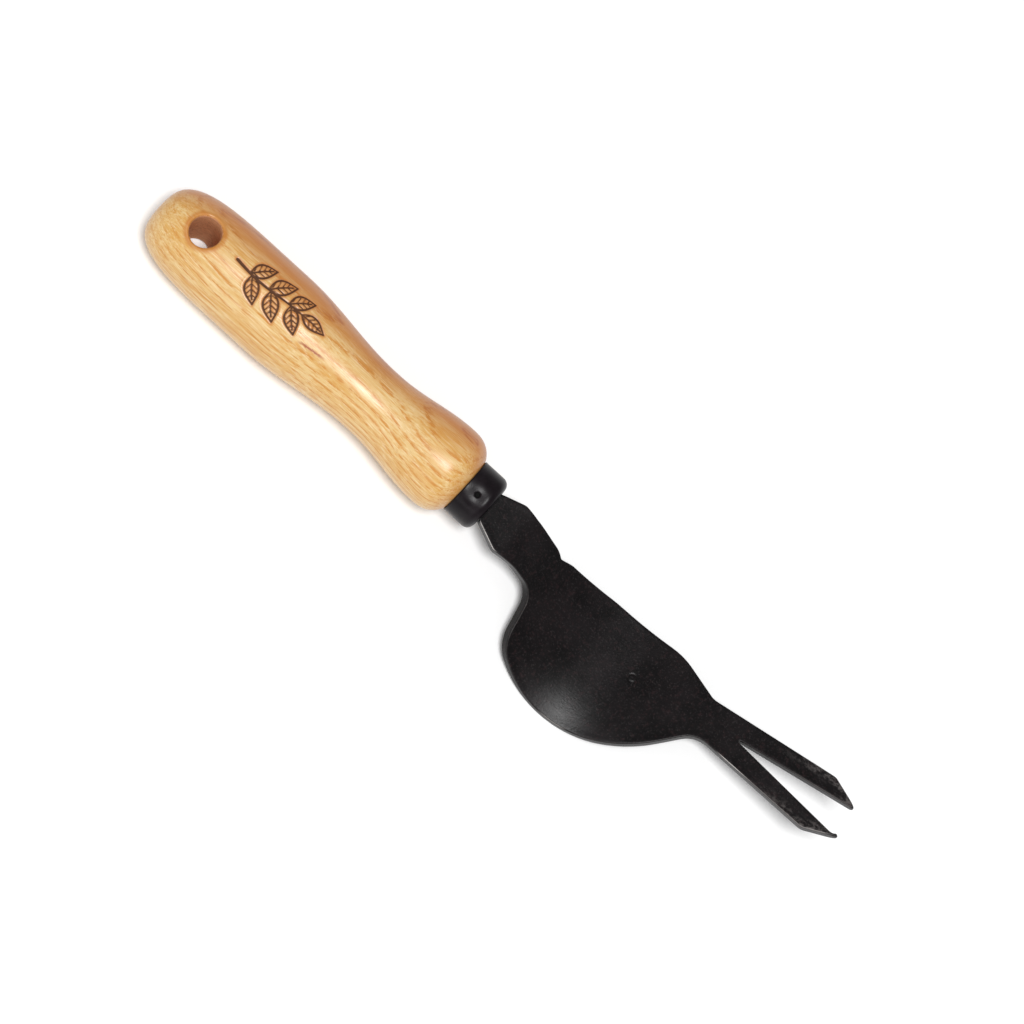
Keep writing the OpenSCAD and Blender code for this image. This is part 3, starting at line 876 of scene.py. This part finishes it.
def make_ferrule():
    profile = even_spacing(ferrule_profile(), 0.35)
    profile[0, 1] = profile[-1, 1] = 0
    ferrule = turned("ferrule_cap", profile, 144)
    half, depth = 6.05, BLADE_T / 2 + 0.22
    start, end = FERRULE_FRONT - 3, FERRULE_FRONT + 3
    corners = [(start, -half), (end, -half), (end, half), (start, half)]
    slot = prism("slot_cutter", corners, -depth, depth)
    cut(ferrule, [slot, round_bar("pin_cutter", 0.95, 5, 14, pin_frame())])
    even_out(ferrule, 0.24, 4)
    points, normals = read_points(ferrule)
    local = points - [PIN_X, 0, 0]
    direction = np.array([0, -math.sin(PIN_ANGLE), math.cos(PIN_ANGLE)])
    along = local @ direction
    away = np.linalg.norm(local - along[:, None] * direction, axis=1)
    pressed = 0.6 * np.exp(-((away / 3.1) ** 2)) * smoothstep(8.5, 10.4, along)
    outside = np.hypot(points[:, 1], points[:, 2]) > FERRULE_R - 0.6
    wobble = np.where(outside, 0.05 * (noise_at(points, 0.22, 7) - 1) / 2, 0)
    points = points - direction * pressed[:, None] + normals * wobble[:, None]
    write_points(ferrule, points)
    return ferrule


def make_pin():
    """The nail that holds the ferrule: a pointed shank with a domed head."""
    top, length, radius = FERRULE_R - 0.9, 5.95, 1.0
    start, shoulder = top - length, top - 0.3
    profile = [[start, 0], [start, 0.35], [start + 1.4, radius], [shoulder, radius]]
    for angle in np.radians(np.linspace(0, 90, 12))[1:-1]:
        profile.append([shoulder + 0.3 * math.sin(angle), radius * math.cos(angle) ** 0.8])
    profile.append([top, 0])
    pin = turned("ferrule_nail", even_spacing(np.array(profile), 0.12), 48)
    pin.data.transform(pin_frame() @ Matrix.Rotation(-math.pi / 2, 4, "Y"))
    pin.data.flip_normals()
    shade_smooth(pin)
    return pin


def metal_material(name, dark, light, rough_low, rough_high, grain):
    sh = Shader(name)
    mm = sh.millimetres()
    cloud = sh.noise(mm, 0.16, 5, 0.6)
    grit = sh.noise(mm, grain, 3, 0.6)
    colour = sh.mix(sh.smooth(cloud, 0.35, 0.68), dark, light)
    colour = sh.mix(sh.smooth(grit, 0.62, 0.74, 0, 0.5), colour, tuple(3.2 * c for c in light))
    rough = sh.smooth(cloud, 0.3, 0.7, rough_low, rough_high)
    bump = sh.add("Bump", {"Strength": 0.35, "Distance": 0.00008, "Height": grit})
    return sh.finish({
        "Base Color": colour, "Roughness": rough, "Specular IOR Level": 0.17, "Normal": bump,
    })


# ---------------------------------------------------------------- floor and light


def make_floor(pieces):
    """A pale floor that the handle and the blade both touch."""
    clouds = [read_points(p)[0] for p in pieces]
    low, high = -0.2, 0.2
    for _ in range(40):
        tilt = (low + high) / 2
        lowest = [(c @ [math.sin(tilt), 0, math.cos(tilt)]).min() for c in clouds]
        low, high = (tilt, high) if lowest[0] > lowest[1] else (low, tilt)
    if abs(lowest[0] - lowest[1]) > 0.01:
        raise ValueError("the floor doesn't touch both pieces")
    normal = Vector((math.sin(tilt), 0, math.cos(tilt)))
    size = 8.0  # metres from the middle to each side
    data = bpy.data.meshes.new("floor")
    corners = [(-size, -size, 0), (size, -size, 0), (size, size, 0), (-size, size, 0)]
    data.from_pydata(corners, [], [(0, 1, 2, 3)])
    floor = new_object("floor", data)
    turn = normal.to_track_quat("Z", "X").to_matrix().to_4x4()
    floor.matrix_world = Matrix.Translation(normal * (min(lowest) * MM)) @ turn
    sh = Shader("floor_white")
    floor.data.materials.append(sh.finish({
        "Base Color": (0.97, 0.97, 0.97, 1), "Roughness": 0.9, "Specular IOR Level": 0.1,
    }))


def make_light(name, direction, distance, size, power):
    """A round lamp some metres from the camera's aim, in a given direction, and turned towards it."""
    data = bpy.data.lights.new(name, "AREA")
    data.shape = "DISK"
    data.size = size
    data.energy = power
    light = new_object(name, data)
    direction = Vector(direction).normalized()
    light.location = CAMERA_AIM + direction * distance
    light.rotation_mode = "QUATERNION"
    light.rotation_quaternion = direction.to_track_quat("Z", "Y")


def make_world():
    """An even surround, as bright as the far floor, so that no horizon shows."""
    world = bpy.data.worlds.new("surround")
    bpy.context.scene.world = world
    world.use_nodes = True
    tree = world.node_tree
    tree.nodes.clear()
    glow = tree.nodes.new("ShaderNodeBackground")
    glow.inputs["Color"].default_value = (1, 1, 1, 1)
    glow.inputs["Strength"].default_value = 0.38
    out = tree.nodes.new("ShaderNodeOutputWorld")
    tree.links.new(glow.outputs[0], out.inputs["Surface"])


# ---------------------------------------------------------------- build

make_camera()

handle = make_handle()
handle.data.materials.append(handle_material())
handle.data.materials.append(bore_material())
ferrule = make_ferrule()
ferrule.data.materials.append(
    metal_material("ferrule_black", (0.0050, 0.0030, 0.0043), (0.0092, 0.0062, 0.0082), 0.30, 0.36, 2.2)
)
pin = make_pin()
pin.data.materials.append(
    metal_material("pin_steel", (0.0008, 0.0007, 0.0007), (0.002, 0.0018, 0.0018), 0.75, 0.85, 3.0)
)
blade = make_blade()
blade.data.materials.append(blade_material())

for piece, node, slot in (
    (handle, "handle", "ash_wood"),
    (ferrule, "ferrule", "ferrule_black"),
    (pin, "ferrule_pin", "pin_steel"),
    (blade, "blade", "blade_black"),
):
    check_closed(piece)
    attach(piece, "root")
    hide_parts(node)

make_floor([handle, blade])
make_world()
make_light("key", (0.05, -0.2, 0.978), 2.0, 0.5, 31)
make_light("fill", (-0.15, -1.0, 0.42), 1.9, 0.7, 4)
bpy.context.scene.view_settings.view_transform = "Standard"
